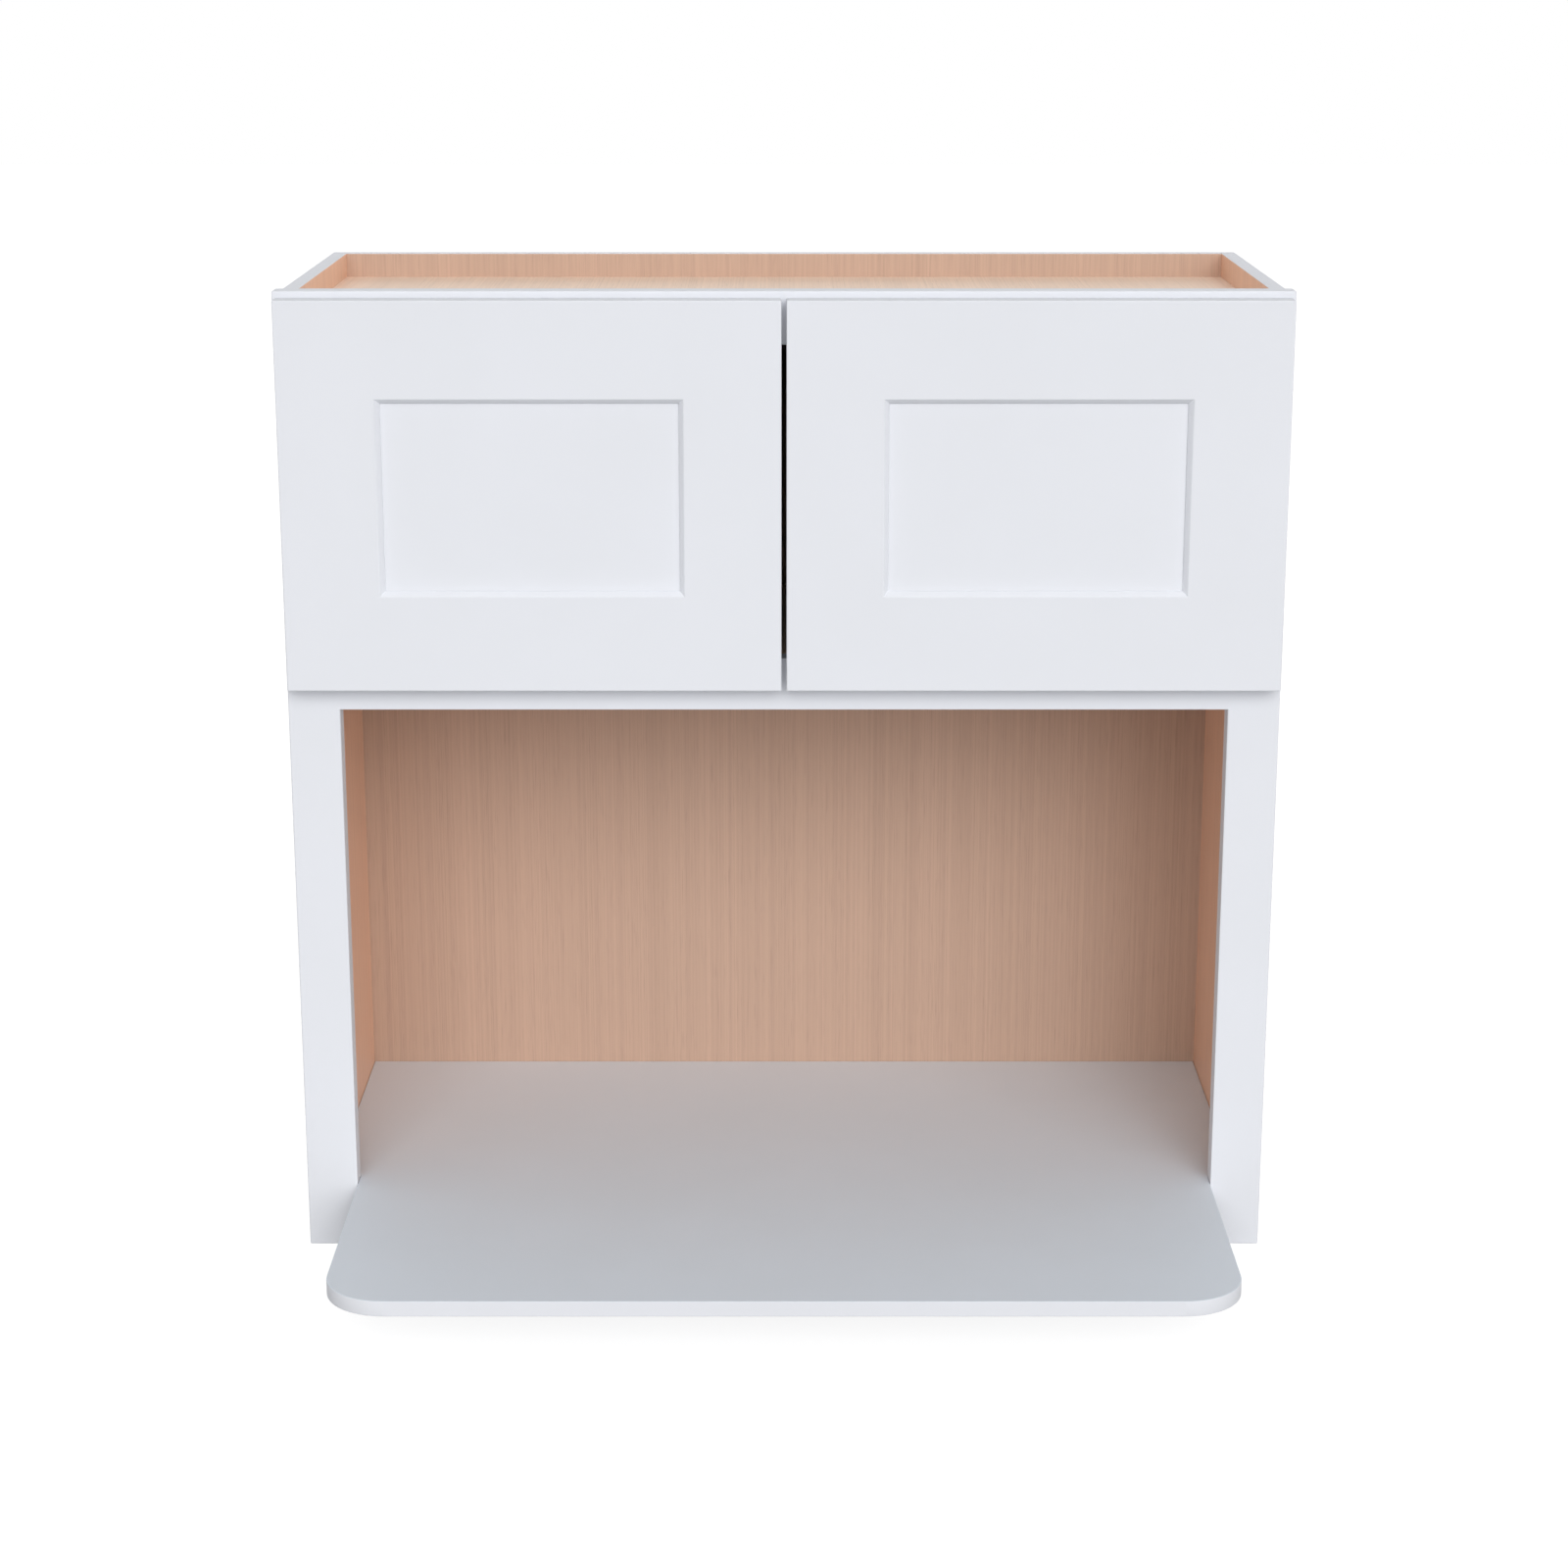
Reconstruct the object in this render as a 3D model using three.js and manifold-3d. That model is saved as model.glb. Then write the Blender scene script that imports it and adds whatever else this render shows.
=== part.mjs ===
// Microwave cabinet: a face-framed cabinet with a two-door compartment above an open microwave niche.
// Millimetres. +X is right, +Y is back and +Z is up. The origin is the bottom centre of the wall face.
import * as THREE from "three";
import { mergeVertices } from "three/addons/utils/BufferGeometryUtils.js";
import Module from "manifold-3d";

// ---------------------------------------------------------------- driving dimensions

// Case: two sides, a back and three level panels between them.
const cabinetWidth = 762; // face frame, outer edge to outer edge
const cabinetHeight = 762;
const caseDepth = 279.3; // wall to the rear of the face frame
const sideThick = 12;
const backThick = 12;
const levelThick = 12; // top panel, compartment floor and bottom panel
const frameOverhang = 5.8; // the frame stands out past each side
const topPanelDrop = 19.2; // the top panel lies this far below the rim
const grooveDeep = 4; // level panels sit this deep in the sides

// Face frame.
const frameThick = 19;
const stileWide = 39.7;
const topRailTall = 40;
const middleRailTall = 40.3;
const bottomRailTall = 39.7;
const nicheTall = 402.3; // bottom rail to middle rail; the doors take what is left above it

// Microwave shelf, which stands out in front of the frame.
const shelfThick = 12;
const shelfStandsOut = 226.5;
const shelfCornerRadius = 47;

// Doors.
const doorThick = 18;
const doorTopReveal = 4.9;
const doorBottomLap = 21; // the doors cover this much of the middle rail
const doorSideReveal = 2.9;
const doorMeetingGap = 3.8; // between the two doors
const doorStandOff = 2; // the bumpers hold the doors this far off the frame
const memberWide = 73; // door stiles and rails, to the edge of the recess
const bevelWide = 3.6; // sloping inner edge of the recess
const bevelDeep = 5;
const recessDeep = 6; // door's front face to the panel
const doorPanelThick = 6.4;
const panelGrooveDeep = 9; // the panel sits this deep in stiles and rails

// Concealed hinges. The pins are placed from the stile's inner front edge.
const hingeFromDoorEnd = 76; // hinge centre to the door's top or bottom edge
const armPinOut = 1.7; // outward from the stile's inner edge
const armPinFront = 5.5; // in front of the frame
const linkReach = 26; // arm pin to cup pin, across the cabinet
const cupPinDeep = 3; // below the door's rear face
const kneeIn = 4.1; // the link's knee, inward from the cup pin
const kneeDeep = 4.3; // and deeper than the cup pin
const linkThick = 2;
const linkTall = 5.2;
const eyeRadius = 2.1;
const pinRadius = 1;
const pinHeadRadius = 1.6;
const pinHeadThick = 0.5;
const earThick = 2; // arm ears and cup lugs
const cupRadius = 17.5;
const cupDeep = 11.5;
const cupWall = 0.8;
const cupPinToWall = 2.8;
const flangeThick = 1;
const flangeRim = 1.5; // the flange's rim round the cup
const cupScrewSpacing = 48;
const cupScrewOffset = 6; // from the cup's centre towards the door's middle
const cupScrewPad = 5.5; // radius of the flange round a screw
const armThick = 1.6;
const armPlateTall = 40;
const armPlateDeep = 16;
const armPlateSetback = 1; // behind the front of the frame
const armNeckTall = 9.8;

// Bumpers and screws.
const bumperRadius = 4.5;
const bumperFromMiddle = 12; // bumper centre to the door's inner edge
const upperBumperDown = 14; // bumper centre below the door's top edge
const lowerBumperUp = 10; // bumper centre above the door's bottom edge
const screwRadius = 1.75;
const screwHeadRadius = 3.4;
const cupScrewLong = 13;
const armScrewLong = 15;
const shelfScrewLong = 20;
const screwPoint = 3;
const shelfScrewFromSide = 60;
const shelfScrewFromBack = 30;

// Fits.
const fitGap = 0.3; // between a piece and the cut that it sits in
const shelfSideGap = 0.3; // shelf to stiles and sides
const roundSteps = 32;
const smallRoundSteps = 16;
const shelfCornerSteps = 10; // straight steps in each rounded corner of the shelf
const weldDistance = 1e-4;

// ---------------------------------------------------------------- places worked out from the sizes

const halfWidth = cabinetWidth / 2;
const stileInner = halfWidth - stileWide;
const sideOuter = halfWidth - frameOverhang;
const sideInner = sideOuter - sideThick;
const frameRear = -caseDepth;
const frameFront = frameRear - frameThick;
const backFront = -backThick;
const topRailBottom = cabinetHeight - topRailTall;
const middleRailBottom = bottomRailTall + nicheTall;
const middleRailTop = middleRailBottom + middleRailTall;

const doorOuter = halfWidth - doorSideReveal;
const doorInner = doorMeetingGap / 2;
const doorTop = cabinetHeight - doorTopReveal;
const doorBottom = middleRailTop - doorBottomLap;
const doorRear = frameFront - doorStandOff;
const doorFront = doorRear - doorThick;
const panelFront = doorFront + recessDeep;
const panelRear = panelFront + doorPanelThick;

const hinges = [
  { level: "upper", height: doorTop - hingeFromDoorEnd },
  { level: "lower", height: doorBottom + hingeFromDoorEnd },
];

// ---------------------------------------------------------------- materials

const whitePaint = new THREE.MeshStandardMaterial({ color: 0xe8eaee, roughness: 0.45 });
const mapleVeneer = new THREE.MeshStandardMaterial({ color: 0xdcbca2, roughness: 0.5 });
const nickelSteel = new THREE.MeshStandardMaterial({ color: 0xb9bbbe, roughness: 0.3, metalness: 1 });
const clearRubber = new THREE.MeshStandardMaterial({ color: 0xd8dadc, roughness: 0.6 });

// ---------------------------------------------------------------- shape helpers

const wasm = await Module();
wasm.setup();

// A closed geometry as a solid that can be cut and joined.
function solidOf(geometry) {
  const loose = geometry.index ? geometry.toNonIndexed() : geometry;
  const bare = new THREE.BufferGeometry().setAttribute("position", loose.getAttribute("position"));
  const welded = mergeVertices(bare, weldDistance);
  const vertProperties = welded.getAttribute("position").array;
  const triVerts = new Uint32Array(welded.index.array);
  return new wasm.Manifold(new wasm.Mesh({ numProp: 3, vertProperties, triVerts }));
}

// A solid as a named mesh.
function piece(name, solid, material) {
  const { vertProperties, triVerts } = solid.getMesh();
  const geometry = new THREE.BufferGeometry();
  geometry.setAttribute("position", new THREE.BufferAttribute(vertProperties, 3));
  geometry.setIndex(new THREE.BufferAttribute(triVerts, 1));
  geometry.computeVertexNormals();
  const mesh = new THREE.Mesh(geometry, material);
  mesh.name = name;
  return mesh;
}

// A block between two limits on each axis.
function block([left, right], [front, back], [bottom, top]) {
  const box = new THREE.BoxGeometry(right - left, back - front, top - bottom);
  box.translate((left + right) / 2, (front + back) / 2, (bottom + top) / 2);
  return solidOf(box);
}

// An upright bar, centred on a point in plan, that reaches as far above a height as below it.
function uprightRod(radius, tall, [x, y], z = 0, steps = smallRoundSteps) {
  const rod = new THREE.CylinderGeometry(radius, radius, tall, steps);
  rod.rotateX(Math.PI / 2).translate(x, y, z);
  return solidOf(rod);
}

// A profile of [radius, height] points turned about an axis; the height runs towards +Y.
function turned(profile, steps = smallRoundSteps) {
  const points = profile.map(([radius, height]) => new THREE.Vector2(radius, height));
  const corners = points.filter((point, i) => i === 0 || !point.equals(points[i - 1]));
  return solidOf(new THREE.LatheGeometry(corners, steps));
}

// A flat outline in X and Z, as thick as the stretch of Y that it covers.
function upstandingPlate(shape, [front, back]) {
  const plate = new THREE.ExtrudeGeometry(shape, {
    depth: back - front,
    bevelEnabled: false,
    curveSegments: smallRoundSteps / 2,
  });
  plate.rotateX(Math.PI / 2).translate(0, back, 0);
  return solidOf(plate);
}

// A screw along +Y with its flat head's face at y = 0. "ease" widens it into the hole that it sits in.
function screwShape(long, ease = 0) {
  const sink = screwHeadRadius - screwRadius;
  return turned([
    [0, -ease],
    [screwHeadRadius + ease, -ease],
    [screwHeadRadius + ease, 0],
    [screwRadius + ease, sink],
    [screwRadius + ease, long - screwPoint],
    [0, long + ease],
  ]);
}

// ---------------------------------------------------------------- case

// A level panel between the frame and the back, housed in grooves in both sides.
function levelPanel(top) {
  const reach = sideInner + grooveDeep;
  return block([-reach, reach], [frameRear, backFront], [top - levelThick, top]);
}

const levelTops = [cabinetHeight - topPanelDrop, middleRailTop, bottomRailTall];

// One side, on the +X half, with a groove for each level panel.
function sidePanel() {
  const panel = block([sideInner, sideOuter], [frameRear, 0], [0, cabinetHeight]);
  const floorOfGroove = sideInner + grooveDeep + fitGap;
  return levelTops.reduce((side, top) => {
    const tall = [top - levelThick - fitGap, top + fitGap];
    return side.subtract(block([sideInner - fitGap, floorOfGroove], [frameRear - fitGap, backFront], tall));
  }, panel);
}

function frameRail(bottom, top) {
  return block([-stileInner, stileInner], [frameFront, frameRear], [bottom, top]);
}

// The shelf is wide behind the frame, passes between the stiles and ends in two rounded corners.
function microwaveShelf() {
  const tongue = stileInner - shelfSideGap;
  const body = sideInner - shelfSideGap;
  const shoulder = frameRear + shelfSideGap;
  const rear = backFront - shelfSideGap;
  const cornerX = tongue - shelfCornerRadius;
  const cornerY = frameFront - shelfStandsOut + shelfCornerRadius;
  const outline = new THREE.Shape();
  outline.moveTo(-body, rear);
  outline.lineTo(-body, shoulder);
  outline.lineTo(-tongue, shoulder);
  outline.absarc(-cornerX, cornerY, shelfCornerRadius, Math.PI, Math.PI * 1.5);
  outline.absarc(cornerX, cornerY, shelfCornerRadius, Math.PI * 1.5, Math.PI * 2);
  outline.lineTo(tongue, shoulder);
  outline.lineTo(body, shoulder);
  outline.lineTo(body, rear);
  const board = new THREE.ExtrudeGeometry(outline, {
    depth: shelfThick,
    bevelEnabled: false,
    curveSegments: shelfCornerSteps,
  });
  board.translate(0, 0, bottomRailTall);
  return solidOf(board);
}

// A shelf screw points up through the bottom panel; its head lies flush with the panel's lower face.
function shelfScrew(side, ease = 0) {
  const place = [side * (sideInner - shelfScrewFromSide), backFront - shelfScrewFromBack];
  const underside = bottomRailTall - levelThick;
  return screwShape(shelfScrewLong, ease).rotate([90, 0, 0]).translate([...place, underside]);
}

function withShelfScrewHoles(solid) {
  return solid.subtract(shelfScrew(-1, fitGap)).subtract(shelfScrew(1, fitGap));
}

function cabinetBody() {
  const group = new THREE.Group();
  const [lid, floor, bottom] = levelTops;
  const back = block([-sideInner, sideInner], [backFront, 0], [0, cabinetHeight]);
  group.add(piece("back_panel", back, mapleVeneer));
  group.add(piece("top_panel", levelPanel(lid), mapleVeneer));
  group.add(piece("compartment_floor", levelPanel(floor), mapleVeneer));
  group.add(piece("bottom_panel", withShelfScrewHoles(levelPanel(bottom)), mapleVeneer));
  group.add(piece("frame_top_rail", frameRail(topRailBottom, cabinetHeight), whitePaint));
  group.add(piece("frame_middle_rail", frameRail(middleRailBottom, middleRailTop), whitePaint));
  group.add(piece("frame_bottom_rail", frameRail(0, bottomRailTall), whitePaint));
  group.add(piece("microwave_shelf", withShelfScrewHoles(microwaveShelf()), whitePaint));
  return group;
}

// ---------------------------------------------------------------- hinge

// Hinge shapes are drawn for the +X side. Their origin is the stile's inner front edge at the hinge's
// mid-height: x runs outward, y to the back and z up.
const armPin = [armPinOut, -armPinFront];
const cupPin = [armPinOut + linkReach, -doorStandOff - cupPinDeep];
const knee = [cupPin[0] - kneeIn, cupPin[1] - kneeDeep];
const cupCentre = cupPin[0] - (cupRadius - cupWall - cupPinToWall);
const earInner = linkTall / 2 + fitGap;
const earOuter = earInner + earThick;

// A flat strap between two points in plan.
function strap([x1, y1], [x2, y2], thick, tall) {
  const long = Math.hypot(x2 - x1, y2 - y1);
  const bar = new THREE.BoxGeometry(long, thick, tall);
  bar.rotateZ(Math.atan2(y2 - y1, x2 - x1)).translate((x1 + x2) / 2, (y1 + y2) / 2, 0);
  return solidOf(bar);
}

// The link bends deep into the cup, so that it clears the door's edge when the door is open.
function hingeLink() {
  const eyes = uprightRod(eyeRadius, linkTall, armPin).add(uprightRod(eyeRadius, linkTall, cupPin));
  const corner = uprightRod(linkThick / 2, linkTall, knee);
  const bars = strap(armPin, knee, linkThick, linkTall).add(strap(knee, cupPin, linkThick, linkTall));
  return pinHoles(eyes.add(corner).add(bars));
}

function pinHoles(solid) {
  const tall = 2 * earOuter + fitGap;
  const bore = (place) => uprightRod(pinRadius + fitGap, tall, place);
  return solid.subtract(bore(armPin)).subtract(bore(cupPin));
}

// A rivet-like pin: a shank with a thin head beyond each ear.
function hingePin([x, y]) {
  const end = earOuter + pinHeadThick;
  const pin = turned([
    [0, -end],
    [pinHeadRadius, -end],
    [pinHeadRadius, -earOuter],
    [pinRadius, -earOuter],
    [pinRadius, earOuter],
    [pinHeadRadius, earOuter],
    [pinHeadRadius, end],
    [0, end],
  ]);
  return pin.rotate([90, 0, 0]).translate([x, y, 0]);
}

// The pair of ears that hold a pin, above and below the link.
function ears([left, right], [front, back]) {
  return block([left, right], [front, back], [earInner, earOuter]).add(
    block([left, right], [front, back], [-earOuter, -earInner]),
  );
}

// The arm: a plate on the stile's inner edge and a neck that reaches forward into the cup.
function hingeArm() {
  const front = armPin[1] - eyeRadius;
  const plateBack = armPlateSetback + armPlateDeep;
  const plate = block([-armThick, 0], [armPlateSetback, plateBack], [-armPlateTall / 2, armPlateTall / 2]);
  const neck = block([-armThick, 0], [front, plateBack], [-armNeckTall / 2, armNeckTall / 2]);
  const arm = plate.add(neck).add(ears([-armThick, armPin[0] + eyeRadius], [front, armPin[1] + eyeRadius]));
  const eyeSlot = uprightRod(eyeRadius + fitGap, 2 * earInner, armPin);
  return pinHoles(arm.subtract(eyeSlot)).subtract(armScrew(fitGap));
}

function armScrew(ease = 0) {
  const middleOfPlate = armPlateSetback + armPlateDeep / 2;
  return screwShape(armScrewLong, ease).rotate([0, 0, -90]).translate([-armThick, middleOfPlate, 0]);
}

// A round bar along Y, for the cup and its bore.
function cupRod(radius, front, back) {
  const rod = new THREE.CylinderGeometry(radius, radius, back - front, roundSteps);
  return solidOf(rod.translate(cupCentre, (front + back) / 2, 0));
}

const cupMouth = -doorStandOff;
const cupScrewX = cupCentre - cupScrewOffset;

// The flange's outline: a long pad with round ends, for the two screws.
function flangePad() {
  const half = cupScrewSpacing / 2;
  const pad = new THREE.Shape();
  pad.absarc(cupScrewX, half, cupScrewPad, 0, Math.PI);
  pad.absarc(cupScrewX, -half, cupScrewPad, Math.PI, Math.PI * 2);
  return upstandingPlate(pad, [cupMouth, cupMouth + flangeThick]);
}

// The cup: a pot let into the door, a flange on the door's rear face and two lugs for the cup pin.
function hingeCup() {
  const pot = cupRod(cupRadius, cupMouth - cupDeep, cupMouth);
  const rim = cupRod(cupRadius + flangeRim, cupMouth, cupMouth + flangeThick);
  const hollow = cupRod(cupRadius - cupWall, cupMouth - cupDeep + cupWall, cupMouth + 2 * flangeThick);
  const lugReach = [cupPin[0] - eyeRadius, cupCentre + cupRadius];
  const lugs = ears(lugReach, [cupPin[1] - eyeRadius, cupPin[1] + eyeRadius]).intersect(pot);
  const shell = pot.add(rim).add(flangePad()).subtract(hollow).add(lugs);
  const screwHoles = [-1, 1].map((end) => cupScrew(end, fitGap));
  return screwHoles.reduce((cup, hole) => cup.subtract(hole), pinHoles(shell));
}

function cupScrew(end, ease = 0) {
  const place = [cupScrewX, cupMouth + flangeThick, (end * cupScrewSpacing) / 2];
  return screwShape(cupScrewLong, ease).rotate([180, 0, 0]).translate(place);
}

// What the cup and its screws take out of the door.
function cupBore() {
  const bore = cupRod(cupRadius + fitGap, cupMouth - cupDeep - fitGap, cupMouth + fitGap);
  return bore.add(cupScrew(-1, fitGap)).add(cupScrew(1, fitGap));
}

// A piece of wood with the same hole cut out of it at both hinges.
function cutAtHinges(wood, hole) {
  const place = (height) => [stileInner, frameFront, height];
  return hinges.reduce((rest, { height }) => rest.subtract(hole.translate(place(height))), wood);
}

// ---------------------------------------------------------------- door

// The door frame before it is parted: a slab with a bevelled recess in front, an opening behind the
// panel and a groove round the opening.
function doorFrameBlank() {
  const slab = block([doorInner, doorOuter], [doorFront, doorRear], [doorBottom, doorTop]);
  const lip = memberWide + bevelWide;
  const opening = doorWindow(lip, [doorFront - fitGap, doorRear + fitGap]);
  const groove = doorWindow(lip - panelGrooveDeep - fitGap, [panelFront - fitGap, panelRear + fitGap]);
  return slab.subtract(opening).subtract(groove).subtract(recessBevel());
}

// A block over the door's middle that leaves a margin all round.
function doorWindow(margin, depth) {
  return block([doorInner + margin, doorOuter - margin], depth, [doorBottom + margin, doorTop - margin]);
}

// The recess as a box that narrows to the panel: four sloping sides with mitred corners.
function recessBevel() {
  const wide = doorOuter - doorInner - 2 * memberWide;
  const tall = doorTop - doorBottom - 2 * memberWide;
  const recess = new THREE.BoxGeometry(wide, bevelDeep, tall);
  const corners = recess.getAttribute("position");
  for (let i = 0; i < corners.count; i += 1) {
    if (corners.getY(i) < 0) continue;
    corners.setX(i, corners.getX(i) - Math.sign(corners.getX(i)) * bevelWide);
    corners.setZ(i, corners.getZ(i) - Math.sign(corners.getZ(i)) * bevelWide);
  }
  const middle = [(doorInner + doorOuter) / 2, doorFront + bevelDeep / 2, (doorBottom + doorTop) / 2];
  return solidOf(recess.translate(...middle));
}

// A stile's share of the door frame, seen from the front: its full height, and the lip between the
// mitres. "edge" is the door's edge on that side and "inward" is +1 or -1 along X.
function stileOutline(edge, inward) {
  const joint = edge + inward * memberWide;
  const lip = joint + inward * bevelWide;
  const outline = new THREE.Shape();
  outline.moveTo(edge, doorBottom);
  outline.lineTo(joint, doorBottom);
  outline.lineTo(joint, doorBottom + memberWide);
  outline.lineTo(lip, doorBottom + memberWide + bevelWide);
  outline.lineTo(lip, doorTop - memberWide - bevelWide);
  outline.lineTo(joint, doorTop - memberWide);
  outline.lineTo(joint, doorTop);
  outline.lineTo(edge, doorTop);
  return outline;
}

// A rail's share: between the stiles, with its lip mitred to theirs.
function railOutline(edge, inward) {
  const joint = edge + inward * memberWide;
  const lip = joint + inward * bevelWide;
  const outline = new THREE.Shape();
  outline.moveTo(doorInner + memberWide, edge);
  outline.lineTo(doorOuter - memberWide, edge);
  outline.lineTo(doorOuter - memberWide, joint);
  outline.lineTo(doorOuter - memberWide - bevelWide, lip);
  outline.lineTo(doorInner + memberWide + bevelWide, lip);
  outline.lineTo(doorInner + memberWide, joint);
  return outline;
}

function stilePart(edge, inward) {
  return upstandingPlate(stileOutline(edge, inward), [doorFront, doorRear]);
}

function railPart(edge, inward) {
  return upstandingPlate(railOutline(edge, inward), [doorFront, doorRear]);
}

// A bumper, stuck on the door's rear face, that rests on the face frame.
function bumper(height) {
  const disc = new THREE.CylinderGeometry(bumperRadius, bumperRadius, doorStandOff, smallRoundSteps);
  return solidOf(disc.translate(doorInner + bumperFromMiddle, doorRear + doorStandOff / 2, height));
}

// ---------------------------------------------------------------- the mirrored half

// The pieces on the cabinet's +X half: its side, stile, door and hinges. The other half mirrors them.
function cabinetHalf(side) {
  const group = new THREE.Group();
  const stile = block([stileInner, halfWidth], [frameFront, frameRear], [0, cabinetHeight]);
  group.add(piece(`${side}_side_panel`, sidePanel(), whitePaint));
  group.add(piece(`frame_${side}_stile`, cutAtHinges(stile, armScrew(fitGap)), whitePaint));
  group.add(piece(`${side}_shelf_screw`, shelfScrew(1), nickelSteel));
  group.add(doorPieces(side), ...hinges.map((hinge) => hingePieces(side, hinge)));
  return group;
}

function doorPieces(side) {
  const group = new THREE.Group();
  const blank = cutAtHinges(doorFrameBlank(), cupBore());
  const name = (part) => `${side}_door_${part}`;
  const panelMargin = memberWide + bevelWide - panelGrooveDeep;
  const panel = doorWindow(panelMargin, [panelFront, panelRear]);
  group.add(piece(name("outer_stile"), blank.intersect(stilePart(doorOuter, -1)), whitePaint));
  group.add(piece(name("inner_stile"), blank.intersect(stilePart(doorInner, 1)), whitePaint));
  group.add(piece(name("top_rail"), blank.intersect(railPart(doorTop, -1)), whitePaint));
  group.add(piece(name("bottom_rail"), blank.intersect(railPart(doorBottom, 1)), whitePaint));
  group.add(piece(name("panel"), panel, whitePaint));
  group.add(piece(name("upper_bumper"), bumper(doorTop - upperBumperDown), clearRubber));
  group.add(piece(name("lower_bumper"), bumper(doorBottom + lowerBumperUp), clearRubber));
  return group;
}

function hingePieces(side, { level, height }) {
  const group = new THREE.Group();
  group.position.set(stileInner, frameFront, height);
  const name = (part) => `${side}_${level}_hinge_${part}`;
  group.add(piece(name("arm"), hingeArm(), nickelSteel));
  group.add(piece(name("arm_screw"), armScrew(), nickelSteel));
  group.add(piece(name("arm_pin"), hingePin(armPin), nickelSteel));
  group.add(piece(name("link"), hingeLink(), nickelSteel));
  group.add(piece(name("cup_pin"), hingePin(cupPin), nickelSteel));
  group.add(piece(name("cup"), hingeCup(), nickelSteel));
  group.add(piece(name("cup_screw_1"), cupScrew(-1), nickelSteel));
  group.add(piece(name("cup_screw_2"), cupScrew(1), nickelSteel));
  return group;
}

const cabinet = cabinetBody();
for (const [side, direction] of [["left", -1], ["right", 1]]) {
  const half = cabinetHalf(side);
  half.scale.x = direction;
  cabinet.add(half);
}

export default cabinet;
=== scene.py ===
# %% [markdown]
# # A microwave cabinet, dressed for its portrait
#
# The object is a wall cabinet with a face frame. Two doors close its upper half, and a microwave oven
# stands in the open niche below, on a shelf with round corners that reaches out in front of the frame.
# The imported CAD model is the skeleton: it fixes every size and every hinge. This lesson puts the real
# surfaces on it, one piece at a time, and each piece is placed by measuring the CAD part it stands for.

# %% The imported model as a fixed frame
import math

import bmesh
import bpy
from mathutils import Matrix, Vector


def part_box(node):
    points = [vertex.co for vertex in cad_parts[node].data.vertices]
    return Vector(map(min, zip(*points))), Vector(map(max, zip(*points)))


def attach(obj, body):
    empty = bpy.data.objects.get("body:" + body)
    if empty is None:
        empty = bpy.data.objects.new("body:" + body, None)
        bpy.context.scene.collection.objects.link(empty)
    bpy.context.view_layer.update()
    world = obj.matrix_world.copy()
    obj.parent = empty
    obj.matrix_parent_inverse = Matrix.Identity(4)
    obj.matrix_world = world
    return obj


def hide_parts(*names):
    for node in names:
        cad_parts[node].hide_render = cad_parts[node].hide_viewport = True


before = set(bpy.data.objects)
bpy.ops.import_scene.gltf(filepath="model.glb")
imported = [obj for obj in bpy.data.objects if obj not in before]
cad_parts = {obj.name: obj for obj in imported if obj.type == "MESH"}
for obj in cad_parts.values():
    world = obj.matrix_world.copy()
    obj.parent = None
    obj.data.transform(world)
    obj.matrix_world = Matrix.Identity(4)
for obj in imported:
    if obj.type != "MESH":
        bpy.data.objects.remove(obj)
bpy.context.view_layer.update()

# %% [markdown]
# ## Colours and nodes
#
# Colours are written as a painter reads them off a screen, in sRGB hex. Blender mixes light in linear
# values, so one function turns the one into the other by the curve of the sRGB standard, and nothing
# else in the file does. A second function adds a shader node: it sets the node's own options, fills its
# inputs and links what needs linking. Every material below is built from these two.

# %% A colour function and a node function
MM = 0.001  # Blender counts in metres


def linear(hex_colour):
    """An sRGB hex colour as the linear RGBA that Blender's nodes take."""
    channels = [int(hex_colour[i : i + 2], 16) / 255 for i in (1, 3, 5)]
    return [c / 12.92 if c <= 0.04045 else ((c + 0.055) / 1.055) ** 2.4 for c in channels] + [1.0]


def add_node(tree, kind, inputs=None, **options):
    """A new node with its options set; an input takes a value, or a socket that is linked to it."""
    node = tree.nodes.new(kind)
    for option, value in options.items():
        setattr(node, option, value)
    for place, value in (inputs or {}).items():
        if isinstance(value, bpy.types.NodeSocket):
            tree.links.new(value, node.inputs[place])
        else:
            node.inputs[place].default_value = value
    return node


def new_finish(name):
    """A material with an empty node tree."""
    finish = bpy.data.materials.new(name)
    finish.use_nodes = True
    finish.node_tree.nodes.clear()
    return finish, finish.node_tree


print("sRGB #808080 is", round(linear("#808080")[0], 3), "in linear light")

# %% [markdown]
# ## Satin white paint
#
# The frame, the doors, the outsides of the case and the shelf are sprayed with a satin white lacquer.
# Sprayed lacquer is never quite flat: it dries with a faint orange peel, soft dimples one or two
# millimetres apart, and its sheen varies a little from patch to patch. The white is slightly cool, and
# its matting agent keeps reflections weak even where the eye grazes the surface, so the specular level
# is low. The dimples are far too shallow to model, so a noise drives a very weak bump, and a broader
# noise moves the colour and the roughness by a few hundredths. The top of the shelf, where the oven
# stands, is the same paint written a touch darker and cooler than the rest, as painted shade: it darkens
# the up-facing top and cancels the warm light that the veneer throws onto it.

# %% Satin lacquer
DIMPLE = 1.8 * MM  # from one dimple of the orange peel to the next
DIMPLE_DEPTH = 0.1 * MM
DIMPLE_STRENGTH = 0.06
PATCH = 90 * MM  # from one patch of sheen to the next
LACQUER_ROUGH = {"To Min": 0.56, "To Max": 0.66}
LACQUER_SPECULAR = 0.1


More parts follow.
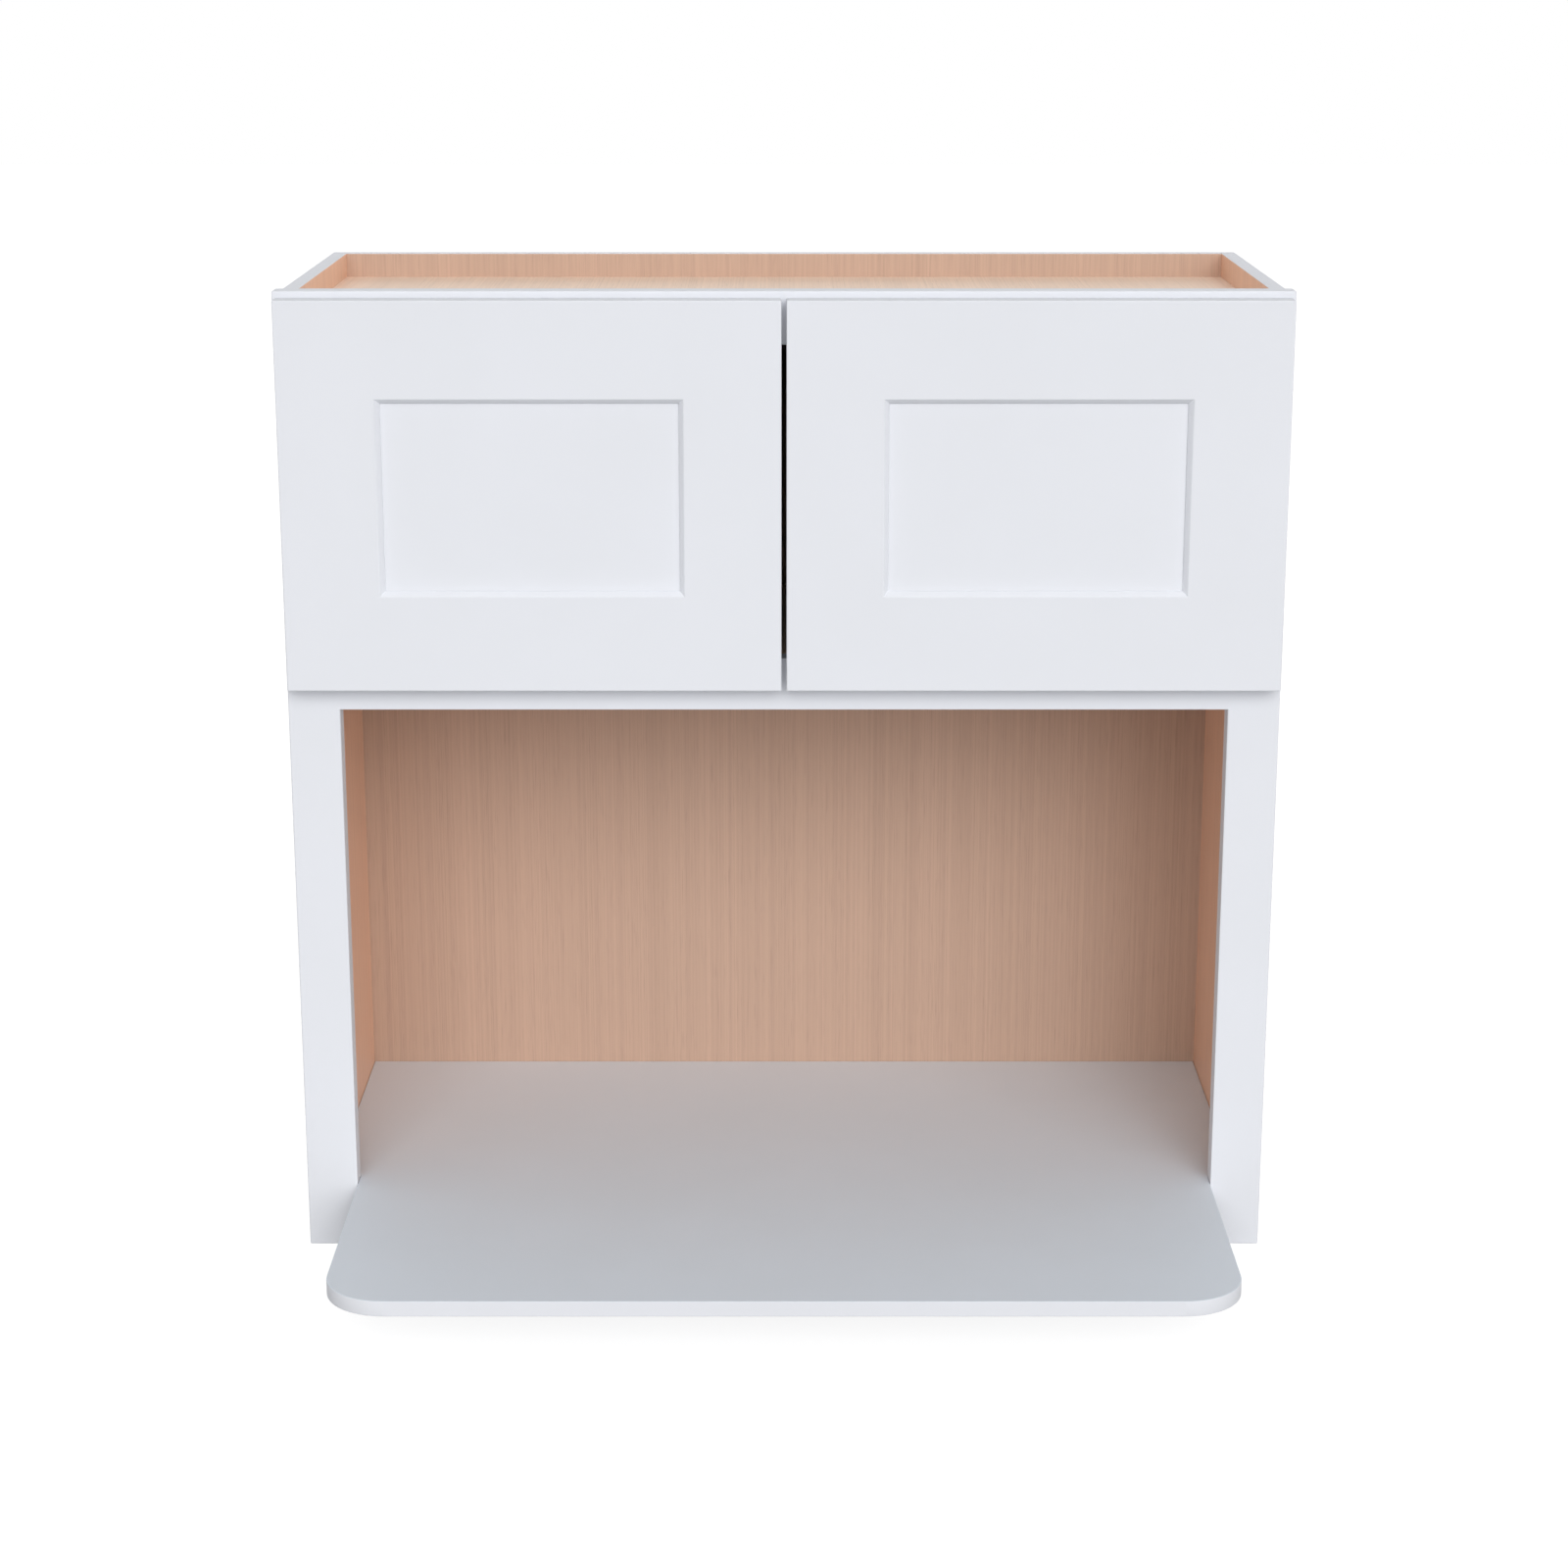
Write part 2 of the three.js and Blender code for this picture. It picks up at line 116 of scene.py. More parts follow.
def satin_lacquer(where, dark, light):
    finish, tree = new_finish("satin white lacquer, sprayed on the " + where)
    place = add_node(tree, "ShaderNodeTexCoord").outputs["Object"]
    dimples = add_node(tree, "ShaderNodeTexNoise", {"Vector": place, "Scale": 1 / DIMPLE, "Detail": 2.0})
    patches = add_node(tree, "ShaderNodeTexNoise", {"Vector": place, "Scale": 1 / PATCH, "Detail": 3.0})
    tone = add_node(tree, "ShaderNodeValToRGB", {"Fac": patches.outputs["Fac"]})
    for stop, colour in zip(tone.color_ramp.elements, (dark, light)):
        stop.color = linear(colour)
    sheen = add_node(tree, "ShaderNodeMapRange", {"Value": patches.outputs["Fac"], **LACQUER_ROUGH})
    peel = add_node(
        tree,
        "ShaderNodeBump",
        {"Height": dimples.outputs["Fac"], "Strength": DIMPLE_STRENGTH, "Distance": DIMPLE_DEPTH},
    )
    paint = add_node(
        tree,
        "ShaderNodeBsdfPrincipled",
        {
            "Base Color": tone.outputs["Color"],
            "Roughness": sheen.outputs["Result"],
            "Normal": peel.outputs["Normal"],
            "Specular IOR Level": LACQUER_SPECULAR,
        },
    )
    add_node(tree, "ShaderNodeOutputMaterial", {"Surface": paint.outputs["BSDF"]})
    return finish


lacquer = satin_lacquer("case and doors", "#E5E7EC", "#E9EBF1")
# painted shade: the shelf's top is a darker, cooler white than the case, against the warm light from the
# veneer
shelf_top_painted_shade = satin_lacquer("top of the shelf", "#DEE6EE", "#E2EAF3")
print("finishes:", lacquer.name, "/", shelf_top_painted_shade.name)

# %% [markdown]
# ## Maple-type veneer
#
# Inside, the boards are faced with a light pinkish maple-type veneer under a clear satin coat. Sliced
# veneer shows long straight lines: broad bands of slightly different tone about 15 mm wide, fine
# streaks about 1.5 mm wide inside them, and short dark pores. Each is a noise that is squeezed across
# the grain and stretched along it, and shifted so that the three don't line up. On upright boards the
# grain stands up, and on level boards it runs from front to back, so a Mapping node turns it. The
# finish is made three times, in three tones of the same veneer. The back's, the greyest, is the
# veneer's own; the sides' warmer, lighter tone is painted light, and the level boards' palest tone is
# painted light and painted sheen, for the light and the grazing reflections that those boards catch.
#
# Adding X and Y gives one "across" coordinate that works on the back, where only X changes, and on the
# sides, where only Y changes. A turn of 45 degrees about Z does that addition.

# %% Maple-type veneer
BANDS = {"across": 15 * MM, "along": 2.5, "detail": 2.0, "shift": 3.0}
STREAKS = {"across": 1.5 * MM, "along": 1.5, "detail": 3.0, "shift": 11.0}
PORES = {"across": 0.7 * MM, "along": 0.03, "detail": 1.0, "shift": 29.0}
FINE_SHARE = 0.6  # how strongly a noise's finer layers show
BAND_STOPS = (0.3, 0.7)
STREAK_TONE = {"From Min": 0.35, "From Max": 0.65, "To Min": 0.9}
PORE_TONE = {"From Min": 0.3, "From Max": 0.42, "To Min": 0.9}
GRAIN_DEPTH = 0.05 * MM
GRAIN_STRENGTH = 0.1
VENEER_ROUGH = 0.45
VENEER_SPECULAR = 0.3


def grain_noise(tree, turned, across, along, detail, shift):
    """A noise with features of one size across the grain and another along it."""
    squeezed = add_node(
        tree,
        "ShaderNodeMapping",
        {"Vector": turned, "Scale": (1 / across, 1 / across, 1 / along), "Location": (shift, 0, 0)},
    ).outputs["Vector"]
    noise = add_node(
        tree,
        "ShaderNodeTexNoise",
        {"Vector": squeezed, "Scale": 1.0, "Detail": detail, "Roughness": FINE_SHARE},
    )
    return noise.outputs["Fac"]


def maple_veneer(where, turn, dark, light):
    finish, tree = new_finish("clear-coated maple veneer on the " + where)
    place = add_node(tree, "ShaderNodeTexCoord").outputs["Object"]
    turned = add_node(tree, "ShaderNodeMapping", {"Vector": place, "Rotation": turn}).outputs["Vector"]
    bands, streaks, pores = (grain_noise(tree, turned, **kind) for kind in (BANDS, STREAKS, PORES))

    ground = add_node(tree, "ShaderNodeValToRGB", {"Fac": bands})
    for stop, position, tone in zip(ground.color_ramp.elements, BAND_STOPS, (dark, light)):
        stop.position, stop.color = position, linear(tone)
    streaked = add_node(tree, "ShaderNodeMapRange", {"Value": streaks, **STREAK_TONE})
    pored = add_node(tree, "ShaderNodeMapRange", {"Value": pores, **PORE_TONE})
    both = {0: streaked.outputs["Result"], 1: pored.outputs["Result"]}
    shade = add_node(tree, "ShaderNodeMath", both, operation="MULTIPLY").outputs[0]
    shaded = {0: ground.outputs["Color"], "Scale": shade}
    colour = add_node(tree, "ShaderNodeVectorMath", shaded, operation="SCALE")
    relief = add_node(
        tree, "ShaderNodeBump", {"Height": shade, "Strength": GRAIN_STRENGTH, "Distance": GRAIN_DEPTH}
    )
    wood = add_node(
        tree,
        "ShaderNodeBsdfPrincipled",
        {
            "Base Color": colour.outputs["Vector"],
            "Roughness": VENEER_ROUGH,
            "Normal": relief.outputs["Normal"],
            "Specular IOR Level": VENEER_SPECULAR,
        },
    )
    add_node(tree, "ShaderNodeOutputMaterial", {"Surface": wood.outputs["BSDF"]})
    return finish


UPRIGHT = (0, 0, math.radians(45))
FRONT_TO_BACK = (math.radians(90), 0, 0)
# one veneer in three tones: the back's is its own, the sides' lighter tone is painted light, the level
# boards' palest is painted light and sheen
back_veneer = maple_veneer("back", UPRIGHT, "#C3A490", "#C8A894")
side_veneer_painted_light = maple_veneer("sides", UPRIGHT, "#F6C9AD", "#FBCEB1")
level_veneer_painted_light = maple_veneer("level boards", FRONT_TO_BACK, "#F6DCC7", "#FCE1CB")
print("finishes:", back_veneer.name, "/", side_veneer_painted_light.name, "/", level_veneer_painted_light.name)

# %% [markdown]
# ## Nickel-plated steel
#
# The concealed hinges and the screws are pressed and headed steel with a bright nickel plate. Nickel is
# a metal with a slightly warm grey, so it is fully metallic. Tumbling before plating leaves fine random
# scuffs, and a small noise lets the roughness wander so that the reflections aren't mirror-clean.

# %% Nickel plate
SCUFF = 0.8 * MM
NICKEL_ROUGH = {"To Min": 0.22, "To Max": 0.42}


def nickel_plate():
    finish, tree = new_finish("nickel-plated pressed steel")
    place = add_node(tree, "ShaderNodeTexCoord").outputs["Object"]
    scuffs = add_node(tree, "ShaderNodeTexNoise", {"Vector": place, "Scale": 1 / SCUFF, "Detail": 4.0})
    rough = add_node(tree, "ShaderNodeMapRange", {"Value": scuffs.outputs["Fac"], **NICKEL_ROUGH})
    steel = add_node(
        tree,
        "ShaderNodeBsdfPrincipled",
        {"Base Color": linear("#C9C6C0"), "Metallic": 1.0, "Roughness": rough.outputs["Result"]},
    )
    add_node(tree, "ShaderNodeOutputMaterial", {"Surface": steel.outputs["BSDF"]})
    return finish


nickel = nickel_plate()
print("finish:", nickel.name)

# %% [markdown]
# ## Clear polyurethane
#
# The door bumpers are small domes cast in clear soft polyurethane. It bends light much as acrylic does,
# but its skin is slightly tacky and dull, and tiny bubbles make it a little cloudy, which a noise in the
# roughness shows.

# %% Clear polyurethane
CLOUD = 1.2 * MM
GEL_ROUGH = {"To Min": 0.2, "To Max": 0.4}
GEL_IOR = 1.5
GEL_CLEARNESS = 0.7


def clear_polyurethane():
    finish, tree = new_finish("clear cast polyurethane")
    place = add_node(tree, "ShaderNodeTexCoord").outputs["Object"]
    cloud = add_node(tree, "ShaderNodeTexNoise", {"Vector": place, "Scale": 1 / CLOUD, "Detail": 2.0})
    rough = add_node(tree, "ShaderNodeMapRange", {"Value": cloud.outputs["Fac"], **GEL_ROUGH})
    gel = add_node(
        tree,
        "ShaderNodeBsdfPrincipled",
        {
            "Base Color": linear("#EEF0F0"),
            "Roughness": rough.outputs["Result"],
            "IOR": GEL_IOR,
            "Transmission Weight": GEL_CLEARNESS,
        },
    )
    add_node(tree, "ShaderNodeOutputMaterial", {"Surface": gel.outputs["BSDF"]})
    return finish


clear_gel = clear_polyurethane()
print("finish:", clear_gel.name)

# %% [markdown]
# ## From a bmesh to a piece
#
# Every new piece goes through the same door. Its mesh becomes an object at the origin, so its place is
# in its vertices, and it then rides on a CAD body, takes a finish and hides the CAD parts that it
# stands for. Flat faces that look straight along an axis stay flat-shaded, and the small curved ones
# between them are smooth, so a rounded arris catches the light and the board beside it stays even.

# %% Making a piece
CREASE = math.radians(35)
STRAIGHT = 0.9999  # largest part of the normal of a face that looks exactly along an axis


def make_piece(name, shape, finishes, body, stands_for):
    shape.normal_update()
    for face in shape.faces:
        face.smooth = max(abs(part) for part in face.normal) < STRAIGHT
    for edge in shape.edges:
        edge.smooth = edge.calc_face_angle(math.pi) < CREASE
    mesh = bpy.data.meshes.new(name)
    shape.to_mesh(mesh)
    shape.free()
    for finish in finishes:
        mesh.materials.append(finish)
    piece = bpy.data.objects.new(name, mesh)
    bpy.context.scene.collection.objects.link(piece)
    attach(piece, body)
    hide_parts(*stands_for)
    print(f"{name}: {len(mesh.polygons)} faces on {body}")


# %% [markdown]
# ## Three tools of the workshop
#
# Most boards need the same three operations. Sanding takes the sharpness off outward edges, which is a
# bevel. A saw or a router follows a straight line, which a cut along a plane draws on the faces. Pushing
# faces in makes a groove, and pushing a flat outline makes a board, and both are an extrusion.

# %% Sanding, slicing and pushing
ON_PLANE = 1e-6  # a point this near to a cutting plane lies on it


def ease_arrises(shape, radius, edges=None, steps=3):
    """Rounds the outward edges of a shape, as sanding does before paint."""
    if edges is None:
        edges = [e for e in shape.edges if e.is_convex and e.calc_face_angle(0) > CREASE]
    bmesh.ops.bevel(
        shape,
        geom=edges,
        offset=radius,
        offset_type="OFFSET",
        segments=steps,
        profile=0.5,
        affect="EDGES",
        material=-1,
        clamp_overlap=True,
    )


def slice_at(shape, axis, place, faces=None):
    """Cuts faces along the plane where one coordinate has a given value."""
    faces = list(shape.faces) if faces is None else faces
    around = {part for face in faces for part in (*face.verts, *face.edges)}
    normal = Vector((axis == "x", axis == "y", axis == "z"))
    bmesh.ops.bisect_plane(
        shape,
        geom=faces + list(around),
        dist=ON_PLANE,
        plane_co=normal * place,
        plane_no=normal,
    )


def push(shape, faces, way, keep=False):
    """Pushes faces along a vector and walls in the gap. A sheet that becomes a board keeps its face."""
    extruded = bmesh.ops.extrude_face_region(shape, geom=faces)["geom"]
    points = [part for part in extruded if isinstance(part, bmesh.types.BMVert)]
    bmesh.ops.translate(shape, verts=points, vec=way)
    if not keep:
        bmesh.ops.delete(shape, geom=faces, context="FACES_ONLY")
    return points


print(f"an edge of more than {math.degrees(CREASE):.0f} degrees counts as sharp")

# %% [markdown]
# ## The face frame
#
# The face frame is solid wood: two stiles and three rails, glued edge to edge, filled, sanded and
# painted until the joints vanish. So it is one piece here. It could be five boards, but five rounded
# boards would show grooves where the paint shows none. It starts as one flat face, a square of one metre
# that is stretched to the frame's outline and sliced along the joints. The two windows are knocked out,
# the rest is pushed back by the frame's thickness, and the outward edges are eased.

# %% Face frame
left_stile, right_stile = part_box("frame_left_stile"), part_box("frame_right_stile")
rail_boxes = {level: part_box(f"frame_{level}_rail") for level in ("top", "middle", "bottom")}
frame_front, frame_rear = left_stile[0].y, left_stile[1].y
stile_inner = right_stile[0].x
cabinet_top = left_stile[1].z
ARRIS = 1.0 * MM
frame_parts = ("left_stile", "right_stile", "top_rail", "middle_rail", "bottom_rail")


def face_frame():
    shape = bmesh.new()
    bmesh.ops.create_grid(shape, x_segments=1, y_segments=1, size=1 / 2)
    bmesh.ops.rotate(shape, verts=shape.verts, matrix=Matrix.Rotation(math.radians(90), 3, "X"))
    bmesh.ops.scale(shape, verts=shape.verts, vec=(2 * right_stile[1].x, 1, cabinet_top))
    bmesh.ops.translate(shape, verts=shape.verts, vec=(0, frame_front, cabinet_top / 2))
    for side in (-1, 1):
        slice_at(shape, "x", side * stile_inner)
    niche_low, compartment_top = rail_boxes["bottom"][1].z, rail_boxes["top"][0].z
    niche_top, compartment_low = (corner.z for corner in rail_boxes["middle"])
    windows = [(niche_low, niche_top), (compartment_low, compartment_top)]
    for level in (level for window in windows for level in window):
        slice_at(shape, "z", level)
    middles = [(face, face.calc_center_median()) for face in shape.faces]
    knocked_out = [
        face
        for face, middle in middles
        if abs(middle.x) < stile_inner and any(low < middle.z < high for low, high in windows)
    ]
    bmesh.ops.delete(shape, geom=knocked_out, context="FACES")
    push(shape, list(shape.faces), (0, frame_rear - frame_front, 0), keep=True)
    bmesh.ops.recalc_face_normals(shape, faces=shape.faces)
    ease_arrises(shape, ARRIS)
    return shape


frame_nodes = [f"frame_{part}" for part in frame_parts]
make_piece("face_frame", face_frame(), [lacquer], "cabinet", frame_nodes)

# %% [markdown]
# ## Boards
#
# The case is plywood, painted outside and on its edges and veneered inside. A board starts as a cube
# that is stretched to the CAD part's box. Only outer arrises are eased: an edge is one of those when it
# lies on two of the box's faces, which leaves the edges of a groove as sharp as the router left them.
# The cabinet is the same on both sides, so what comes in pairs is drawn on the right. Mirroring turns a
# shape inside out, so the left one's faces are reversed afterwards.

# %% A board, its arrises and its mirror image
BOARD_ARRIS = 0.6 * MM
TOUCH = 0.01 * MM
FACING = 0.99  # a face looks along an axis when that part of its normal is larger
LACQUERED, VENEERED = 0, 1
SIDES = ("left", "right")


def board(low, high):
    shape = bmesh.new()
    bmesh.ops.create_cube(shape, size=1)
    bmesh.ops.scale(shape, verts=shape.verts, vec=high - low)
    bmesh.ops.translate(shape, verts=shape.verts, vec=(low + high) / 2)
    shape.normal_update()
    return shape


def outer_arrises(shape, low, high):
    def lies_on_outside(edge, axis):
        start, end = (point.co[axis] for point in edge.verts)
        nearest = min(abs(start - low[axis]), abs(start - high[axis]))
        return abs(start - end) < TOUCH and nearest < TOUCH

    return [e for e in shape.edges if sum(lies_on_outside(e, axis) for axis in range(3)) == 2]


def on_side(side, shape):
    """A shape that is drawn on the right, for either side of the cabinet."""
    if side == "left":
        bmesh.ops.scale(shape, verts=shape.verts, vec=(-1, 1, 1))
        bmesh.ops.reverse_faces(shape, faces=shape.faces)
    return shape


print(f"arrises: {BOARD_ARRIS / MM:.1f} mm on boards, {ARRIS / MM:.1f} mm on the face frame")

# %% [markdown]
# ## Sides
#
# The level boards sit in shallow grooves in the sides. A groove is made as a router makes it: the inner
# face is sliced along the groove's edges, and the strip between them is pushed into the wood. The groove
# stops just short of the front edge, which keeps that edge whole behind the face frame.

# %% Sides of the case
GROOVE_FIT = 0.05 * MM
GROOVE_STOP = 1.0 * MM
LEVEL_BOARDS = ("top_panel", "compartment_floor", "bottom_panel")


def side_board():
    low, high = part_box("right_side_panel")
    groove_front, groove_rear = low.y + GROOVE_STOP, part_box("back_panel")[0].y
    shape = board(low, high)

    def inner_faces():
        shape.normal_update()
        inward = [face for face in shape.faces if face.normal.x < -FACING]
        return [face for face in inward if abs(face.calc_center_median().x - low.x) < TOUCH]

    for end in (groove_front, groove_rear):
        slice_at(shape, "y", end, inner_faces())
    for node in LEVEL_BOARDS:
        bottom, top = (corner.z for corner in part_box(node))
        slice_at(shape, "z", bottom - GROOVE_FIT, inner_faces())
        slice_at(shape, "z", top + GROOVE_FIT, inner_faces())
        middles = [(face, face.calc_center_median()) for face in inner_faces()]
        strip = [
            face
            for face, middle in middles
            if bottom < middle.z < top and groove_front < middle.y < groove_rear
        ]
        push(shape, strip, (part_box(node)[1].x + GROOVE_FIT - low.x, 0, 0))
    shape.normal_update()
    for face in shape.faces:
        face.material_index = VENEERED if face.normal.x < -FACING else LACQUERED
    ease_arrises(shape, BOARD_ARRIS, outer_arrises(shape, low, high))
    return shape


for side in SIDES:
    make_piece(
        f"{side}_side_board",
        on_side(side, side_board()),
        [lacquer, side_veneer_painted_light],
        "cabinet",
        [f"{side}_side_panel"],
    )

# %% [markdown]
# ## Back and level boards
#
# The back stands between the sides. Its inner face shows above the top panel and behind the microwave,
# and its upper edge is painted and eased like the other rims. Its upright edges are glued against the
# sides, so they stay sharp, or a dark line would show in the corner. The three level boards keep their
# CAD shape: their edges are in the grooves and behind the frame, so only their flat faces show, and all
# that they need is the veneer with its grain from front to back.

# %% Back and level boards
def back_board():
    low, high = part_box("back_panel")
    shape = board(low, high)
    for face in shape.faces:
        face.material_index = VENEERED if abs(face.normal.y) > FACING else LACQUERED
    upper = [e for e in shape.edges if all(abs(point.co.z - high.z) < TOUCH for point in e.verts)]
    lengthwise = [e for e in upper if abs(e.verts[0].co.y - e.verts[1].co.y) < TOUCH]
    ease_arrises(shape, BOARD_ARRIS, lengthwise)
    return shape


make_piece(
    "back_board", back_board(), [lacquer, back_veneer], "cabinet", ["back_panel"]
)


def refinish(node, finish):
    """A CAD part whose shape is right keeps it, and takes a better finish."""
    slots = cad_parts[node].data.materials
    slots.clear()
    slots.append(finish)
    print(f"{node}: its own shape, {finish.name}")


# the level boards take the palest tone, which is painted light and painted sheen
for node in LEVEL_BOARDS:
    refinish(node, level_veneer_painted_light)

# %% [markdown]
# ## The microwave shelf
#
# The shelf is one board: wide behind the frame, narrower where it passes between the stiles, and cut to
# two generous round corners in front. It is drawn as eight points. A vertex bevel turns the two front
# points into quarter circles, as a compass would, the outline is pushed up by the board's thickness,
# and the edges are eased all round.

# %% Microwave shelf
SHELF_CORNER = 47 * MM
SHELF_CORNER_STEPS = 20
SHELF_SLACK = 0.3 * MM
SHELF_ARRIS = 0.5 * MM
# the shelf's top takes the darker, cooler white, which is painted shade
SHELF_TOP_SHADE = 1  # the second finish, beside LACQUERED


def microwave_shelf():
    low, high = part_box("microwave_shelf")
    tongue = stile_inner - SHELF_SLACK
    shoulder = frame_rear + SHELF_SLACK
    half_outline = [(high.x, high.y), (high.x, shoulder), (tongue, shoulder), (tongue, low.y)]
    outline = half_outline + [(-x, y) for x, y in reversed(half_outline)]
    shape = bmesh.new()
    points = [shape.verts.new((x, y, low.z)) for x, y in outline]
    shape.faces.new(points)
    bmesh.ops.bevel(
        shape,
        geom=[point for point in points if abs(point.co.y - low.y) < TOUCH],
        offset=SHELF_CORNER,
        offset_type="OFFSET",
        segments=SHELF_CORNER_STEPS,
        profile=0.5,
        affect="VERTICES",
        material=-1,
    )
    push(shape, list(shape.faces), (0, 0, high.z - low.z), keep=True)
    bmesh.ops.recalc_face_normals(shape, faces=shape.faces)
    for face in shape.faces:
        face.material_index = SHELF_TOP_SHADE if face.normal.z > FACING else LACQUERED
    ease_arrises(shape, SHELF_ARRIS)
    return shape


make_piece(
    "microwave_shelf_board",
    microwave_shelf(),
    [lacquer, shelf_top_painted_shade],
    "cabinet",
    ["microwave_shelf"],
)

# %% [markdown]
# ## Door frames
#
# A recessed-panel door has two stiles and two rails, and all four have the same section: a flat face, a
# short bevel down to the panel, and a groove that holds it. So the section is drawn once. A spin of four
# steps turns it into a square ring with mitred corners, as four steps of a circle make a square, and the
# corners are then pulled out to the door's width and height. The joints are filled and painted over on
# the real door, so the ring is one piece.

# %% Door frame
RECESS_BEVEL = 3.6 * MM
RECESS_BEVEL_DEEP = 5.0 * MM
PANEL_FIT = 0.3 * MM
RECESS_ARRIS = 0.4 * MM
RING = 0.5  # half of the square ring before it is pulled to size, larger than any section
RING_STEPS = 4


def door_section(front, rear, lip, panel_front, panel_rear, groove):
    """Points of the section as [inward from the door's edge, depth]."""
    return [
        (0, rear),
        (0, front),
        (lip - RECESS_BEVEL, front),
        (lip, front + RECESS_BEVEL_DEEP),
        (lip, panel_front - PANEL_FIT),
        (groove, panel_front - PANEL_FIT),
        (groove, panel_rear + PANEL_FIT),
        (lip, panel_rear + PANEL_FIT),
        (lip, rear),
    ]


def turned_about(shape, points, edges, axis, steps):
    """Spins a drawn line once round an axis through the origin and joins its ends."""
    bmesh.ops.spin(
        shape,
        geom=points + edges,
        axis=axis,
        cent=(0, 0, 0),
        angle=math.tau,
        steps=steps,
        use_merge=True,
    )


def door_frame():
    stile_low, stile_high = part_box("right_door_outer_stile")
    inner_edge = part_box("right_door_inner_stile")[0].x
    panel_low, panel_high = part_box("right_door_panel")
    lip = stile_high.x - stile_low.x
    groove = stile_high.x - panel_high.x - PANEL_FIT
    section = door_section(stile_low.y, stile_high.y, lip, panel_low.y, panel_high.y, groove)
    shape = bmesh.new()
    points = [shape.verts.new((RING - inward, depth, RING - inward)) for inward, depth in section]
    edges = [shape.edges.new(pair) for pair in zip(points, points[1:] + points[:1])]
    turned_about(shape, points, edges, (0, 1, 0), RING_STEPS)
    half = ((stile_high.x - inner_edge) / 2, (stile_high.z - stile_low.z) / 2)
    for axis, size in zip((0, 2), half):
        for direction in (-1, 1):
            corner = [point for point in shape.verts if point.co[axis] * direction > 0]
            pull = Vector((0, 0, 0))
            pull[axis] = direction * (size - RING)
            bmesh.ops.translate(shape, verts=corner, vec=pull)
    middle = ((stile_high.x + inner_edge) / 2, 0, (stile_high.z + stile_low.z) / 2)
    bmesh.ops.translate(shape, verts=shape.verts, vec=middle)
    bmesh.ops.recalc_face_normals(shape, faces=shape.faces)
    door_low = Vector((inner_edge, stile_low.y, stile_low.z))
    ease_arrises(shape, ARRIS, outer_arrises(shape, door_low, stile_high))
    recess = [
        edge
        for edge in shape.edges
        if edge.is_convex
        and edge.calc_face_angle(0) > CREASE
        and all(abs(point.co.y - stile_low.y) < TOUCH for point in edge.verts)
    ]
    ease_arrises(shape, RECESS_ARRIS, recess, steps=2)
    return shape


print(f"recess: {RECESS_BEVEL / MM:.1f} mm wide bevel, {RECESS_BEVEL_DEEP / MM:.1f} mm deep")

# %% [markdown]
# ## Cup bores
#
# Each door has two 35 mm bores in its rear face for the hinge cups. A drill leaves a round hole, and the
# rear face has straight edges, so a square is sliced out of it round the hole's centre. Its four edges
# are divided into as many steps as a circle needs and extruded, and each new point is drawn in to the
# drill's radius. That keeps the strip between square and circle from twisting, which a bridge of two
# loops can do. The circle is then pushed down to the bore's floor and closed.

# %% Cup bores
BORE_STEPS = 48
BORE_MARGIN = 2 * MM


def bore(shape, centre, radius, rear, depth):
    def rear_faces():
        shape.normal_update()
        backward = [face for face in shape.faces if face.normal.y > FACING]
        return [face for face in backward if abs(face.calc_center_median().y - rear) < TOUCH]

    def off_centre(face):
        middle = face.calc_center_median()
        return math.dist((middle.x, middle.z), centre)

    def extrude_rim():
        rim = [edge for edge in shape.edges if edge.is_boundary]
        extruded = bmesh.ops.extrude_edge_only(shape, edges=rim)["geom"]
        return [part for part in extruded if isinstance(part, bmesh.types.BMVert)]

    reach = radius + BORE_MARGIN
    for axis, place in (("x", centre[0]), ("z", centre[1])):
        for direction in (-1, 1):
            slice_at(shape, axis, place + direction * reach, rear_faces())
    square = min(rear_faces(), key=off_centre)
    sides = list(square.edges)
    bmesh.ops.delete(shape, geom=[square], context="FACES_ONLY")
    bmesh.ops.subdivide_edges(shape, edges=sides, cuts=BORE_STEPS // 4 - 1)
    axis_point = Vector((centre[0], rear, centre[1]))
    for point in extrude_rim():
        from_axis = point.co - axis_point
        point.co = axis_point + from_axis * (radius / from_axis.length)
    floor = extrude_rim()
    bmesh.ops.translate(shape, verts=floor, vec=(0, -depth, 0))
    bmesh.ops.contextual_create(shape, geom=[edge for edge in shape.edges if edge.is_boundary])
    bmesh.ops.recalc_face_normals(shape, faces=shape.faces)
    print(f"bore {2 * radius / MM:.1f} mm wide, {depth / MM:.1f} mm deep, {len(floor)} steps round")


# %% [markdown]
# ## Both doors
#
# The bores are placed by the CAD's hinge cups. The flange of a cup is 1.5 mm wider than its 35 mm pot all
# round, so a bore's centre lies one radius and one rim in from the cup's outermost point. The drilled
# frame goes on both doors. The panel in it keeps its CAD shape, because it is a flat board in a groove.

# %% Both doors
LEVELS = ("upper", "lower")
CUP_RADIUS = 17.5 * MM
CUP_RIM = 1.5 * MM
CUP_FIT = 0.3 * MM


def drilled_door_frame():
    shape = door_frame()
    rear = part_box("right_door_outer_stile")[1].y
    for level in LEVELS:
        low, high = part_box(f"right_{level}_hinge_cup")
        centre = (high.x - CUP_RADIUS - CUP_RIM, (low.z + high.z) / 2)
        bore(shape, centre, CUP_RADIUS + CUP_FIT, rear, rear - low.y + CUP_FIT)
    return shape


for side in SIDES:
    make_piece(
        f"{side}_door_frame",
        on_side(side, drilled_door_frame()),
        [lacquer],
        f"{side}_door",
        [f"{side}_door_{part}" for part in ("outer_stile", "inner_stile", "top_rail", "bottom_rail")],
    )
    refinish(f"{side}_door_panel", lacquer)

